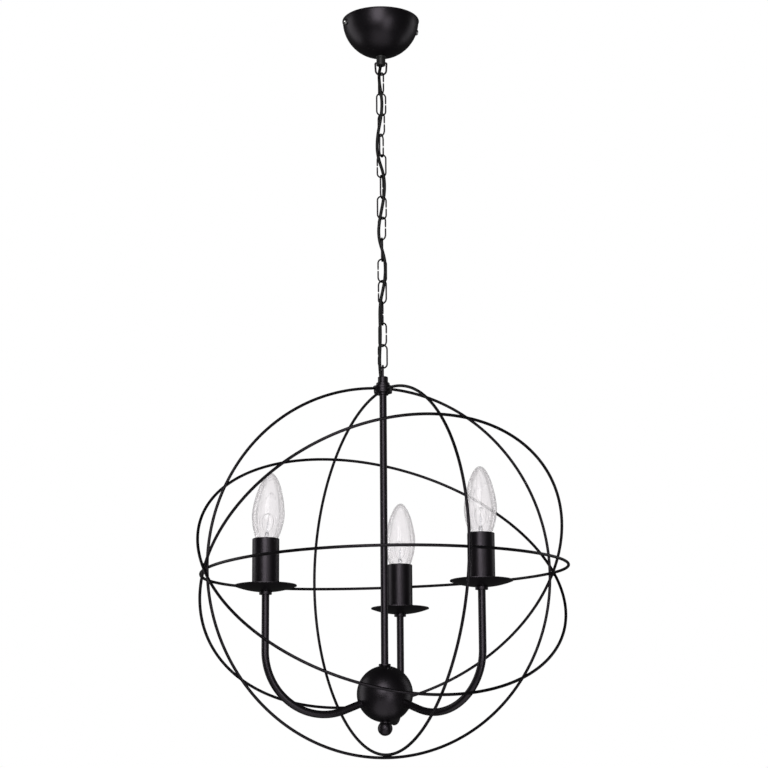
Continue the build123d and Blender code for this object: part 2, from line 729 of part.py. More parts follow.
inner_curve = pan_curve_r - pan_t
for lamp, azimuth, drop, tip, reach, slope, bend in lamps:
    foot = arm_dir(azimuth) * reach + up * drop
    stand = Plane(origin=foot, x_dir=arm_dir(azimuth), z_dir=arm_dir(azimuth).cross(up))
    axis = Axis(foot, up)

    with BuildPart() as pan:
        with BuildSketch(stand):
            with BuildLine():
                hole = arm_r + fit
                ThreePointArc(
                    (hole, pan_z + dish(pan_curve_r, hole)),
                    (18, pan_z + dish(pan_curve_r, 18)),
                    (pan_r, pan_z + dish(pan_curve_r, pan_r)),
                )
                Line((pan_r, pan_z + dish(pan_curve_r, pan_r)), (pan_r - 0.1, pan_z + pan_t + dish(inner_curve, pan_r - 0.1)))
                ThreePointArc(
                    (pan_r - 0.1, pan_z + pan_t + dish(inner_curve, pan_r - 0.1)),
                    (18, pan_z + pan_t + dish(inner_curve, 18)),
                    (hole, pan_z + pan_t + dish(inner_curve, hole)),
                )
                Line((hole, pan_z + pan_t + dish(inner_curve, hole)), (hole, pan_z + dish(pan_curve_r, hole)))
            make_face()
        revolve(axis=axis)
    pan.part.label = "drip_pan_%s" % lamp
    export_step(pan.part, "parts/drip_pan_%s.step" % lamp)

    with BuildPart() as cup:
        with BuildSketch(stand):
            with BuildLine():
                Polyline(
                    (arm_r + fit, cup_floor_z),
                    (cup_r - 0.6, cup_floor_z),
                    (cup_r, cup_floor_z + 0.6),
                    (cup_r, cup_top_z - 0.35),
                    (cup_r - 0.35, cup_top_z),
                    (cup_r - cup_wall, cup_top_z),
                    (cup_r - cup_wall, cup_floor_z + cup_wall),
                    (arm_r + fit, cup_floor_z + cup_wall),
                    close=True,
                )
            make_face()
        revolve(axis=axis)
    cup.part.label = "lamp_cup_%s" % lamp
    export_step(cup.part, "parts/lamp_cup_%s.step" % lamp)

    with BuildPart() as holder:
        with BuildSketch(stand):
            with BuildLine():
                Polyline(
                    (arm_r + fit, cup_floor_z + cup_wall + 0.02),
                    (holder_r, cup_floor_z + cup_wall + 0.02),
                    (holder_r, -640.0),
                    (holder_r - 1.2, -639.0),
                    (holder_r - 1.2, holder_top_z),
                    (7.7, holder_top_z),
                    (7.7, -645.0),
                    (1.6, -645.0),
                    (1.6, -649.0),
                    (arm_r + fit, -649.0),
                    close=True,
                )
            make_face()
        revolve(axis=axis)
    holder.part.label = "lampholder_%s" % lamp
    export_step(holder.part, "parts/lampholder_%s.step" % lamp)

    with BuildPart() as cap:
        thread = []
        for step in range(6):
            z = -622.0 - 2.82 * step
            thread += [(6.45, z), (6.95, z - 0.9), (6.95, z - 1.4)]
        with BuildSketch(stand):
            with BuildLine():
                Polyline(
                    (6.35, -615.6),
                    (6.75, -615.6),
                    (6.75, -620.8),
                    *thread,
                    (6.3, -639.0),
                    (3.0, -642.2),
                    (2.3, -644.4),
                    (1.2, -644.95),
                    (0, -644.95),
                    (0, -641.2),
                    (2.2, -641.2),
                    (5.4, -638.2),
                    (5.9, -636.5),
                    (5.9, -622.3),
                    (6.35, -621.5),
                    close=True,
                )
            make_face()
        revolve(axis=axis)
    cap.part.label = "bulb_cap_%s" % lamp
    export_step(cap.part, "parts/bulb_cap_%s.step" % lamp)

    # the glass sits a little crooked on its cap
    lean = across * sin(radians(tip)) + up * cos(radians(tip))
    seat = foot + up * -615.5
    sight = away
    glass_plane = Plane(origin=seat, x_dir=sight.cross(lean) * -1, z_dir=(sight.cross(lean) * -1).cross(lean))
    glass_axis = Axis(seat, lean)
    with BuildPart() as glass:
        with BuildSketch(glass_plane):
            with BuildLine():
                Polyline(*glass_outer, *glass_inner[::-1], glass_outer[0])
            make_face()
        revolve(axis=glass_axis)
    glass.part.label = "bulb_glass_%s" % lamp
    export_step(glass.part, "parts/bulb_glass_%s.step" % lamp)

    with BuildPart() as stem:
        with BuildSketch(glass_plane):
            with BuildLine():
                Polyline((0, -3.8), (4.9, -3.8), (4.7, 0.4), (2.6, 4.2), (1.7, 9.0), (1.7, 14.0), (2.1, 17.6), (1.1, 19.4), (0.9, 27.0), (1.3, 29.0), (0, 29.6), close=True)
            make_face()
        revolve(axis=glass_axis)
        # lead-in wires and the filament's arch
        with BuildLine(glass_plane) as wire_line:
            FilletPolyline((0.6, 16.4), (4.4, 19.5), (5.2, 33.5), (0.4, 42.0), (-5.2, 33.5), (-4.4, 19.5), (-0.6, 16.4), radius=[2.0, 4.0, 3.0, 4.0, 2.0])
        with BuildSketch(Plane(origin=wire_line.line @ 0, z_dir=wire_line.line % 0)):
            Circle(0.28)
        sweep()
    stem.part.label = "bulb_stem_%s" % lamp
    export_step(stem.part, "parts/bulb_stem_%s.step" % lamp)
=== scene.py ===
import bpy
import bmesh
from math import atan2, cos, degrees, hypot, pi, radians, sin, sqrt, tan
from mathutils import Matrix, Vector, noise


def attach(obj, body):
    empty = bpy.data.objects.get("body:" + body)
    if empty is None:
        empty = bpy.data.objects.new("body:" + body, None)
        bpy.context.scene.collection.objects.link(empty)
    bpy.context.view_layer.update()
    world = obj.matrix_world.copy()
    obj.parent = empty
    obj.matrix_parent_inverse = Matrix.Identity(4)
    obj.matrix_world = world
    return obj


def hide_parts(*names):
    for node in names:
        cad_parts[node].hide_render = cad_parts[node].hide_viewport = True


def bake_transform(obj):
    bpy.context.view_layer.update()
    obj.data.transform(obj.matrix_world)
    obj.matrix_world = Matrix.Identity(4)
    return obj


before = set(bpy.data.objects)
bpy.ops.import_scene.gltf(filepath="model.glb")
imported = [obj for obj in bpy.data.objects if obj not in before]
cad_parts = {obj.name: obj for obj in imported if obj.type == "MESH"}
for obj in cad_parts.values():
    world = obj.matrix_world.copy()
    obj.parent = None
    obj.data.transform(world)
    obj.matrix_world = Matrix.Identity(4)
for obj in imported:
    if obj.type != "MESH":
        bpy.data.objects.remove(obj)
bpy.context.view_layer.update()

MM = 0.001
VIEW_AZ = -21.73
ACROSS = Vector((cos(radians(VIEW_AZ)), sin(radians(VIEW_AZ)), 0))
AWAY = Vector((-sin(radians(VIEW_AZ)), cos(radians(VIEW_AZ)), 0))
UP = Vector((0, 0, 1))


def place(u, v, z):
    return (ACROSS * u + AWAY * v + UP * z) * MM


# ---------------------------------------------------------------- camera
cam_data = bpy.data.cameras.new("view_camera")
cam = bpy.data.objects.new("view_camera", cam_data)
bpy.context.scene.collection.objects.link(cam)
cam_data.sensor_width = 36.0
cam_data.lens = 96.905
cam_data.clip_start = 0.05
cam_data.clip_end = 60
pitch, roll, yaw = radians(12.572), radians(-0.373), radians(-0.030)
right0 = ACROSS * cos(yaw) + AWAY * sin(yaw)
ahead0 = ACROSS * -sin(yaw) + AWAY * cos(yaw)
forward = ahead0 * cos(pitch) + UP * sin(pitch)
up0 = ahead0 * -sin(pitch) + UP * cos(pitch)
cam_x = right0 * cos(roll) + up0 * sin(roll)
cam_y = right0 * -sin(roll) + up0 * cos(roll)
turn = Matrix((cam_x, cam_y, -forward)).transposed().to_4x4()
cam.matrix_world = Matrix.Translation(place(0, -2218.7, -629.65 - 290.6)) @ turn
bpy.context.scene.camera = cam


# ------------------------------------------------------------- materials
def new_material(name):
    mat = bpy.data.materials.new(name)
    mat.use_nodes = True
    nodes = mat.node_tree.nodes
    return mat, nodes, mat.node_tree.links, nodes["Principled BSDF"]


def speckle(nodes, links, coords, scale, detail=3.0):
    tex = nodes.new("ShaderNodeTexNoise")
    tex.inputs["Scale"].default_value = scale
    tex.inputs["Detail"].default_value = detail
    links.new(coords, tex.inputs["Vector"])
    return tex.outputs["Fac"]


def span(nodes, links, value, low, high, a=0.3, b=0.7):
    m = nodes.new("ShaderNodeMapRange")
    m.inputs["From Min"].default_value = a
    m.inputs["From Max"].default_value = b
    m.inputs["To Min"].default_value = low
    m.inputs["To Max"].default_value = high
    links.new(value, m.inputs["Value"])
    return m.outputs["Result"]


def coloured(nodes, links, value, dark, light):
    mix = nodes.new("ShaderNodeMix")
    mix.data_type = "RGBA"
    mix.inputs["A"].default_value = (*dark, 1)
    mix.inputs["B"].default_value = (*light, 1)
    links.new(value, mix.inputs["Factor"])
    return mix.outputs["Result"]


def bumped(nodes, links, value, strength, distance, shader):
    b = nodes.new("ShaderNodeBump")
    b.inputs["Strength"].default_value = strength
    b.inputs["Distance"].default_value = distance
    links.new(value, b.inputs["Height"])
    links.new(b.outputs["Normal"], shader.inputs["Normal"])


def coated(name, dark, light, rough, grain, bump, metallic=0.0, coat=0.0, specular=0.5, spread=0.05, sheen_tint=(1, 1, 1)):
    mat, nodes, links, shader = new_material(name)
    coords = nodes.new("ShaderNodeTexCoord").outputs["Object"]
    broad = speckle(nodes, links, coords, 38.0, 4.0)
    fine = speckle(nodes, links, coords, grain, 2.0)
    links.new(coloured(nodes, links, broad, dark, light), shader.inputs["Base Color"])
    links.new(span(nodes, links, broad, rough - spread, rough + spread), shader.inputs["Roughness"])
    shader.inputs["Metallic"].default_value = metallic
    shader.inputs["Specular IOR Level"].default_value = specular
    shader.inputs["Specular Tint"].default_value = (*sheen_tint, 1)
    shader.inputs["Coat Weight"].default_value = coat
    shader.inputs["Coat Roughness"].default_value = 0.25
    bumped(nodes, links, fine, bump, 0.0002, shader)
    return mat


paint = coated("satin_black_paint", (0.0026, 0.0022, 0.0028), (0.0046, 0.0040, 0.0048), 0.36, 700, 0.03, specular=0.42, spread=0.03, sheen_tint=(0.98, 0.87, 1.0))
wire_paint = coated("satin_black_wire", (0.0015, 0.0013, 0.0017), (0.0028, 0.0025, 0.0030), 0.38, 800, 0.03, specular=0.28, spread=0.03, sheen_tint=(0.98, 0.87, 1.0))
chain_paint = coated("chain_black", (0.0018, 0.0016, 0.0018), (0.0036, 0.0033, 0.0036), 0.30, 1200, 0.05, specular=0.32, sheen_tint=(0.98, 0.90, 1.0))
sheath = coated("cable_black", (0.0020, 0.0019, 0.0020), (0.0036, 0.0034, 0.0036), 0.50, 900, 0.06, specular=0.30)
zinc = coated("zinc_steel", (0.50, 0.50, 0.49), (0.68, 0.68, 0.67), 0.28, 1800, 0.10, metallic=1.0)
turned = coated("turned_steel", (0.42, 0.42, 0.41), (0.56, 0.56, 0.55), 0.34, 1500, 0.16, metallic=1.0)
brass = coated("plain_brass", (0.62, 0.45, 0.20), (0.76, 0.58, 0.30), 0.30, 1500, 0.10, metallic=1.0)
cap_metal = coated("cap_aluminium", (0.66, 0.66, 0.65), (0.80, 0.80, 0.79), 0.26, 1500, 0.08, metallic=1.0)
white_plastic = coated("white_moulding", (0.72, 0.72, 0.69), (0.82, 0.82, 0.79), 0.45, 900, 0.10)
black_plastic = coated("black_moulding", (0.008, 0.008, 0.008), (0.014, 0.014, 0.014), 0.48, 1100, 0.20)
lead_brown = coated("lead_brown", (0.16, 0.07, 0.03), (0.22, 0.10, 0.05), 0.42, 900, 0.10)
tungsten = coated("tungsten", (0.16, 0.15, 0.15), (0.24, 0.23, 0.23), 0.38, 2500, 0.10, metallic=1.0)


def clear_glass(name, tint, rough, share):
    """Clear glass that keeps its shadow light: part of it simply lets light through."""
    mat, nodes, links, shader = new_material(name)
    coords = nodes.new("ShaderNodeTexCoord").outputs["Object"]
    ripple = speckle(nodes, links, coords, 55.0, 1.0)
    shader.inputs["Transmission Weight"].default_value = 1.0
    shader.inputs["IOR"].default_value = 1.47
    links.new(span(nodes, links, ripple, rough, rough + 0.02), shader.inputs["Roughness"])
    links.new(coloured(nodes, links, ripple, tint, tuple(min(1, c + 0.02) for c in tint)), shader.inputs["Base Color"])
    bumped(nodes, links, ripple, 0.10, 0.0004, shader)
    clear = nodes.new("ShaderNodeBsdfTransparent")
    clear.inputs["Color"].default_value = (*tint, 1)
    mix = nodes.new("ShaderNodeMixShader")
    mix.inputs["Fac"].default_value = share
    links.new(shader.outputs["BSDF"], mix.inputs[1])
    links.new(clear.outputs["BSDF"], mix.inputs[2])
    links.new(mix.outputs["Shader"], nodes["Material Output"].inputs["Surface"])
    return mat


glass_mat = clear_glass("bulb_clear_glass", (0.962, 0.953, 0.958), 0.0, 0.68)
stem_mat = clear_glass("stem_clear_glass", (0.90, 0.91, 0.92), 0.02, 0.15)


# ------------------------------------------------------------ mesh tools
def add_mesh(name, verts, faces, mat, smooth=True):
    data = bpy.data.meshes.new(name)
    data.from_pydata([tuple(v) for v in verts], [], faces)
    data.validate()
    bm = bmesh.new()
    bm.from_mesh(data)
    bmesh.ops.recalc_face_normals(bm, faces=bm.faces)
    bm.to_mesh(data)
    bm.free()
    for p in data.polygons:
        p.use_smooth = smooth
    data.materials.append(mat)
    obj = bpy.data.objects.new(name, data)
    bpy.context.scene.collection.objects.link(obj)
    return obj


def tube_rings(points, radius, sides, first=None, closed=False):
    """Rings round a path, carried along it without twisting."""
    n = len(points)
    tangents = []
    for i in range(n):
        if closed:
            t = points[(i + 1) % n] - points[i - 1]
        else:
            t = points[min(i + 1, n - 1)] - points[max(i - 1, 0)]
        tangents.append(t.normalized())
    side = first or tangents[0].orthogonal()
    side = (side - tangents[0] * side.dot(tangents[0])).normalized()
    rings = []
    for i in range(n):
        t = tangents[i]
        side = (side - t * side.dot(t)).normalized()
        other = t.cross(side)
        r = radius[i] if isinstance(radius, (list, tuple)) else radius
        rings.append([points[i] + (side * cos(2 * pi * k / sides) + other * sin(2 * pi * k / sides)) * r for k in range(sides)])
    return rings, tangents


def skin(rings, closed=False, caps=True):
    verts, faces = [], []
    sides = len(rings[0])
    for ring in rings:
        verts += ring
    n = len(rings)
    for i in range(n if closed else n - 1):
        a, b = i * sides, ((i + 1) % n) * sides
        for k in range(sides):
            m = (k + 1) % sides
            faces.append((a + k, a + m, b + m, b + k))
    if caps and not closed:
        faces.append(tuple(range(sides))[::-1])
        faces.append(tuple((n - 1) * sides + k for k in range(sides)))
    return verts, faces


def wire(name, points, radius, mat, sides=20, closed=False, rounded=True, first=None):
    """A round wire; an open one has softly rounded ends."""
    radii = [radius] * len(points)
    if not closed and rounded:
        for end, step in ((0, 1), (len(points) - 1, -1)):
            radii[end] = radius * 0.82
    rings, _ = tube_rings(points, radii, sides, first=first, closed=closed)
    verts, faces = skin(rings, closed)
    return add_mesh(name, verts, faces, mat)


def lathe(name, profile, mat, base=Vector((0, 0, 0)), lean=UP, sides=128, closed=True, bevel_sharp=True):
    """Turns a profile of (radius, height) in mm round an axis through base along lean."""
    lean = lean.normalized()
    a = (AWAY.cross(lean)).normalized()
    b = lean.cross(a)
    verts, faces = [], []
    rows = []
    for r, z in profile:
        if r < 1e-6:
            rows.append([len(verts)])
            verts.append(base + lean * z * MM)
        else:
            rows.append(list(range(len(verts), len(verts) + sides)))
            for k in range(sides):
                t = 2 * pi * k / sides
                verts.append(base + (a * cos(t) + b * sin(t)) * r * MM + lean * z * MM)
    pairs = list(zip(rows, rows[1:]))
    if closed:
        pairs.append((rows[-1], rows[0]))
    for p, q in pairs:
        if len(p) == 1 and len(q) == 1:
            continue
        for k in range(sides):
            m = (k + 1) % sides
            if len(p) == 1:
                faces.append((p[0], q[k], q[m]))
            elif len(q) == 1:
                faces.append((p[k], q[0], p[m]))
            else:
                faces.append((p[k], q[k], q[m], p[m]))
    obj = add_mesh(name, verts, faces, mat)
    if bevel_sharp:
        edge_split_by_angle(obj, 40)
    return obj


def edge_split_by_angle(obj, angle):
    data = obj.data
    bm = bmesh.new()
    bm.from_mesh(data)
    for e in bm.edges:
        e.smooth = not (len(e.link_faces) == 2 and e.calc_face_angle(0) > radians(angle))
    bm.to_mesh(data)
    bm.free()


def arc_points(cx, cy, r, start, sweep, count):
    return [(cx + r * cos(radians(start + sweep * i / count)), cy + r * sin(radians(start + sweep * i / count))) for i in range(count + 1)]


# ----------------------------------------------------- hoops, as in the CAD
ORB_Z = -629.65
HOOP_R = 1.6


cross_az = radians(92.65)
cross_dir = Vector((cos(cross_az), sin(cross_az), 0))
lean_u = Vector((cos(radians(0.38)), 0, sin(radians(0.38))))
lean_w = Vector((-sin(radians(0.38)), 0, cos(radians(0.38))))
level_u = Vector((cos(radians(0.97)), 0, sin(radians(0.97))))
level_w = Vector((-sin(radians(0.97)), 0, cos(radians(0.97))))
YY = Vector((0, 1, 0))


def leaning(angle):
    return YY * cos(radians(angle)) - lean_w * sin(radians(angle))


hoop_specs = {
    "upright_hoop_long": (Vector((1, 0, 0)), UP, Vector((0, 0, ORB_Z - 0.80)), lambda t: 199.19 - 0.64 * cos(2 * t) + 1.77 * sin(2 * t), lambda t: 0.0),
    "upright_hoop_cross": (
        cross_dir,
        UP,
        cross_dir * -1.1 + Vector((0, 0, ORB_Z - 0.10)),
        lambda t: 198.90 + 1.65 * cos(2 * t) - 1.67 * sin(2 * t) - 0.08 * (1 - sin(t)),
        lambda t: 2.54 * (1 - sin(t)) + 0.96 * cos(t) - 1.75 * sin(2 * t) - 0.59 * (1 + cos(2 * t)) - 1.17 * cos(3 * t),
    ),
    "level_hoop": (
        level_u,
        YY * cos(radians(-0.6)) - level_w * sin(radians(-0.6)),
        Vector((0, 0, ORB_Z)),
        lambda t: 198.70 - 1.13 * cos(2 * t) + 0.45 * sin(2 * t) - 1.1 * sin(t),
        lambda t: -1.19 + 1.52 * cos(t) - 0.62 * sin(t) - 0.64 * cos(2 * t) + 1.61 * sin(2 * t),
    ),
    "leaning_hoop_inner": (
        lean_u,
        leaning(43.04),
        Vector((0, 0, ORB_Z)),
        lambda t: 205.49 - 3.61 * cos(2 * t) + 0.39 * sin(2 * t),
        lambda t: -0.09 + 2.77 * cos(t) + 4.7 * sin(t) - 1.14 * cos(2 * t) - 1.89 * sin(2 * t),
    ),
    "leaning_hoop_outer": (lean_u, leaning(-45.63), Vector((0, 0, ORB_Z)), lambda t: 203.25 + 1.90 * cos(2 * t) + 0.33 * sin(2 * t), lambda t: 0.0),
}


def ring_line(name, count=384):
    u, v, centre, radius, bow_out = hoop_specs[name]
    out = []
    for k in range(count):
        t = 2 * pi * k / count
        q = radius(t)
        out.append((centre + u * (q * cos(t)) + v * (q * sin(t)) + u.cross(v) * bow_out(t)) * MM)
    return out


cross_side = Vector((cross_dir.y, -cross_dir.x, 0))


def from_uprights(p):
    """Distance from a point of the level hoop to the middle of the nearer upright hoop."""
    return min(abs(p.y), abs(p.dot(cross_side) - (1.15 if p.y > 0 else 1.57) * MM))


def washer(name, outer, inner, low, high, mat):
    c = 0.25
    return lathe(name, [(inner, low), (outer - c, low), (outer, low + c), (outer, high - c), (outer - c, high), (inner, high)], mat, sides=96)


hoop_lines = {}
for name, (x_dir, y_dir, origin, radius, bow_out) in hoop_specs.items():
    line = ring_line(name)
    hoop_lines[name] = line
    normal = x_dir.cross(y_dir)
    n = len(line)
    if name == "level_hoop":
        parts = []
        gap = (HOOP_R + 0.02) * MM
        inside = []
        for p in line:
            inside.append(from_uprights(p) > gap)
        starts = [i for i in range(n) if inside[i] and not inside[i - 1]]
        for k, s in enumerate(starts):
            run = []
            i = s
            while inside[i % n]:
                run.append(line[i % n].copy())
                i += 1
            # carry both ends right up to the upright hoop that they are welded to
            for end in (0, -1):
                beyond = line[(s - 1) % n] if end == 0 else line[i % n]
                p = run[end]
                q = beyond
                best = p.copy()
                for step in range(41):
                    c = p.lerp(q, step / 40)
                    if from_uprights(c) > gap:
                        best = c.copy()
                if (best - p).length > 1e-5:
                    if end == 0:
                        run.insert(0, best)
                    else:
                        run.append(best)
            parts.append(wire("level_arc_%d" % (k + 1), run, HOOP_R * MM, wire_paint, rounded=False, first=normal))
        for o in parts:
            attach(o, "fixture")
            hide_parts("level_hoop")
        continue
    if name.startswith("upright"):
        # open at the top: the ends stop inside the washer
        keep = [i for i in range(n) if not (line[i].z > ORB_Z * MM + 0.1 and hypot(line[i].x, line[i].y) < (10.6 if name.endswith("long") else 9.9) * MM)]
        first = next(i for i in keep if (i - 1) % n not in set(keep))
        run = [line[(first + k) % n] for k in range(len(keep))]
        # both ends run on to the same distance from the axis, inside the washer
        stop = (10.6 if name.endswith("long") else 9.9) * MM
        for end, beyond in ((0, line[(first - 1) % n]), (-1, line[(first + len(keep)) % n])):
            edge = max((run[end].lerp(beyond, k / 60) for k in range(61)), key=lambda c: -abs(hypot(c.x, c.y) - stop))
            run.insert(0, edge) if end == 0 else run.append(edge)
        o = wire(name + "_wire", run, HOOP_R * MM, wire_paint, closed=False, first=normal)
    else:
        o = wire(name + "_wire", line, HOOP_R * MM, wire_paint, closed=True, first=normal)
    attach(o, "fixture")
    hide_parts(name)
for name, outer, low, high in (("upright_hoop_long", 11.0, -430.9, -428.3), ("upright_hoop_cross", 10.2, -433.92, -430.92)):
    w = washer(name + "_washer", outer, 4.03, low, high, paint)
    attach(w, "fixture")
    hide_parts(name)


def weld(name, centre, long_dir, size, mat=None):
    """A small uneven bead of weld metal."""
    bm = bmesh.new()
    bmesh.ops.create_uvsphere(bm, u_segments=20, v_segments=12, radius=1.0)
    z = long_dir.normalized()
    x = z.orthogonal().normalized()
    y = z.cross(x)
    for v in bm.verts:
        wob = 1 + 0.16 * noise.noise(v.co * 1.7 + centre * 900)
        c = v.co * wob
        v.co = centre + (x * c.x * size[0] + y * c.y * size[0] + z * c.z * size[1]) * MM
    data = bpy.data.meshes.new(name)
    bm.to_mesh(data)
    bm.free()
    for p in data.polygons:
        p.use_smooth = True
    data.materials.append(mat or wire_paint)
    o = bpy.data.objects.new(name, data)
    bpy.context.scene.collection.objects.link(o)
    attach(o, "fixture")
    return o


def nearest(line_a, line_b, wanted):
    """Where two hoops pass closest to each other near a wanted direction."""
    best = None
    a_near = sorted(line_a, key=lambda p: (p - wanted).length)[:24]
    b_near = sorted(line_b, key=lambda p: (p - wanted).length)[:24]
    for p in a_near:
        for q in b_near:
            d = (p - q).length
            if best is None or d < best[0]:
                best = (d, p, q)
    return best


spots = []
centre = Vector((0, 0, ORB_Z * MM))
for s in (-1, 1):
    node = centre + Vector((s * 0.2, 0, 0))
    spots.append(("weld_node_inner_%s" % ("a" if s < 0 else "b"), nearest(hoop_lines["upright_hoop_long"], hoop_lines["leaning_hoop_inner"], node)))
    spots.append(("weld_node_outer_%s" % ("a" if s < 0 else "b"), nearest(hoop_lines["leaning_hoop_inner"], hoop_lines["leaning_hoop_outer"], node)))
spots.append(("weld_floor", nearest(hoop_lines["upright_hoop_long"], hoop_lines["upright_hoop_cross"], centre - UP * 0.2)))
for name, (d, p, q) in spots:
    if d < 0.006:
        weld(name, (p + q) / 2, (q - p) if d > 1e-5 else UP, (1.25, 1.35))

# --------------------------------------------------------- bail and chain
BOW = 5.1


def bail_line():
    """The bail's line: stub, leg, half round, leg, stub."""
    corners = [(3.2, -51.0), (6.5, -51.0), (5.75, -65.25), (-5.75, -65.25), (-6.5, -51.0), (-3.2, -51.0)]
    radii = [1.25, 5.4, 5.4, 1.25]
    pts = [Vector(corners[0])]
    for i in range(1, 5):
        a, b, c = Vector(corners[i - 1]), Vector(corners[i]), Vector(corners[i + 1])
        u, v = (a - b).normalized(), (c - b).normalized()
        half = u.angle(v) / 2
        d = radii[i - 1] / tan(half)
        p, q = b + u * d, b + v * d
        mid = b + (u + v).normalized() * (radii[i - 1] / sin(half))
        s = atan2((p - mid).y, (p - mid).x)
        e = atan2((q - mid).y, (q - mid).x)
        turn_by = (e - s + pi) % (2 * pi) - pi
        steps = 14
        pts += [mid + Vector((cos(s + turn_by * k / steps), sin(s + turn_by * k / steps))) * radii[i - 1] for k in range(steps + 1)]
    pts.append(Vector(corners[-1]))
    out = []
    for p, q in zip(pts, pts[1:]):
        count = max(1, int((q - p).length / 1.2))
        out += [p.lerp(q, k / count) for k in range(count)]
    out.append(pts[-1])
    return [place(p.x, 0, p.y) for p in out]


bail = wire("canopy_bail_wire", bail_line(), 1.1 * MM, paint, sides=20)
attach(bail, "bail")
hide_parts("canopy_bail")

turns = [122, 10, 132, 67, 160, 75, 18, 141, 84, 26, 147, 85, 143, 21]
seams = [-1, 1, -1, 1, 1, 1, 1, -1, 1, -1, 1, 1, -1, -1]
for k, (t, seam) in enumerate(zip(turns, seams)):
    top = -62.25 - 24.45 * k - 0.9
    bottom = top - 28.15 + 1.8
    mid = (top + bottom) / 2
    direction = (ACROSS * cos(radians(t)) + AWAY * sin(radians(t))) * seam
    flat = []
    for z in (mid + 0.7, mid + 3.0, mid + 6.0):
        flat.append((BOW, z))
    flat += arc_points(0, top - BOW, BOW, 0, 180, 30)
    for z in (mid + 6.0, mid + 3, mid, mid - 3, mid - 6):
        flat.append((-BOW, z))
    flat += arc_points(0, bottom + BOW, BOW, 180, 180, 30)
    for z in (mid - 6.0, mid - 3.0, mid - 0.7):
        flat.append((BOW, z))
    line = [(direction * x + UP * z) * MM for x, z in flat]
    o = wire("chain_link_%02d_wire" % (k + 1), line, 0.9 * MM, chain_paint, sides=18, first=direction.cross(UP))
    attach(o, "link_%02d" % (k + 1))
    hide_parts("chain_link_%02d" % (k + 1))

loop_pts = [(-4.2, z) for z in (-419.7, -417, -414, -411.5)] + arc_points(0, -409.35, 4.2, 180, -180, 30) + [(4.2, z) for z in (-411.5, -414, -417, -419.7)]
loop = wire("top_loop_wire", [place(0, v, z) for v, z in loop_pts], 1.2 * MM, paint, sides=20)
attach(loop, "fixture")
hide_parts("top_loop")

# ----------------------------------------------------------- supply cable
route = [
    (-1.67, 4.18, -9.30),
    (-1.67, 4.18, -17.50),
    (0.0, 0.25, -30.0),
    (0.0, 0.0, -44.0),
    (0.0, 0.0, -53.0),
    (-2.30, -3.24, -65.00),
    (-1.95, -5.11, -76.60),
    (-0.22, -5.79, -88.20),
    (0.96, -5.65, -99.80),
    (0.52, -4.85, -111.40),
    (-1.28, -3.33, -123.00),
    (-3.65, -1.81, -134.60),
    (-4.86, -1.15, -146.20),
    (-4.81, -1.35, -157.80),
    (-2.43, -2.25, -169.40),
    (1.13, -3.48, -181.00),
    (3.14, -4.32, -192.60),
    (3.22, -4.61, -204.20),
    (1.80, -4.57, -215.80),
    (-0.40, -4.23, -227.40),
    (-2.57, -3.46, -239.00),
    (-3.92, -2.34, -250.60),
    (-2.97, -1.63, -262.20),
    (0.46, -1.82, -273.80),
    (3.09, -2.60, -285.40),
    (3.60, -3.68, -297.00),
    (2.71, -4.92, -308.60),
    (0.68, -6.11, -320.20),
    (-1.88, -7.13, -331.80),
    (-2.90, -7.62, -343.40),
    (-2.84, -7.72, -355.00),
    (-2.51, -7.81, -366.60),
    (-2.63, -7.84, -378.20),
    (-3.16, -7.37, -389.80),
    (-3.64, -5.50, -401.40),
    (-2.55, -1.10, -418.00),
    (-0.50, -0.20, -429.50),
    (0.0, 0.0, -442.0),
    (0.0, 0.0, -759.98),
]
curve = bpy.data.curves.new("supply_cable_route", "CURVE")
curve.dimensions = "3D"
curve.resolution_u = 12
spline = curve.splines.new("NURBS")
spline.points.add(len(route) - 1)
for point, p in zip(spline.points, route):
    point.co = (*place(*p), 1)
spline.order_u = 3
spline.use_endpoint_u = True
route_obj = bpy.data.objects.new("supply_cable_route", curve)
bpy.context.scene.collection.objects.link(route_obj)
bpy.context.view_layer.update()
flat_route = bpy.data.meshes.new_from_object(route_obj.evaluated_get(bpy.context.evaluated_depsgraph_get()))
cable_line = [v.co.copy() for v in flat_route.vertices]
if cable_line[0].z < cable_line[-1].z:
    cable_line.reverse()
bpy.data.objects.remove(route_obj)
rings, _ = tube_rings(cable_line, 1.8 * MM, 24, first=AWAY)
cuts = [-57.5] + [-62.25 - 24.45 * k - 28.15 / 2 for k in range(14)]
edges = [1.0] + [c * MM for c in cuts] + [-2.0]
for k in range(len(edges) - 1):
    hi, lo = edges[k], edges[k + 1]
    index = [i for i, p in enumerate(cable_line) if lo <= p.z <= hi]
    a, b = index[0], index[-1]
    if k > 0:
        a -= 1
    part = rings[a : b + 1]
    verts, faces = skin(part, caps=False)
    if k == 0:
        faces.append(tuple(range(24))[::-1])
    if k == len(edges) - 2:
        faces.append(tuple(len(verts) - 24 + i for i in range(24)))
    o = add_mesh("supply_cable_%02d" % (k + 1), verts, faces, sheath)
    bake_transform(o)
    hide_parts("supply_cable")

# ------------------------------------------------------------------ bulbs
lamps = [("left", 180.0, 0.0, 3.7, 134.4), ("rear", 60.5, -4.7, 1.0, 132.0), ("right", -60.4, 0.0, 0.0, 129.4)]
outer_curve = [(5.95, -4.6), (5.95, 0.6), (6.6, 2.8), (8.2, 5.8), (11.6, 11.8), (14.4, 19.6), (16.4, 28.0), (17.3, 37.0), (16.7, 46.0), (15.1, 54.5), (12.9, 63.5), (10.6, 70.0), (7.9, 75.8), (5.0, 80.0), (2.4, 82.3), (0.0, 82.8)]


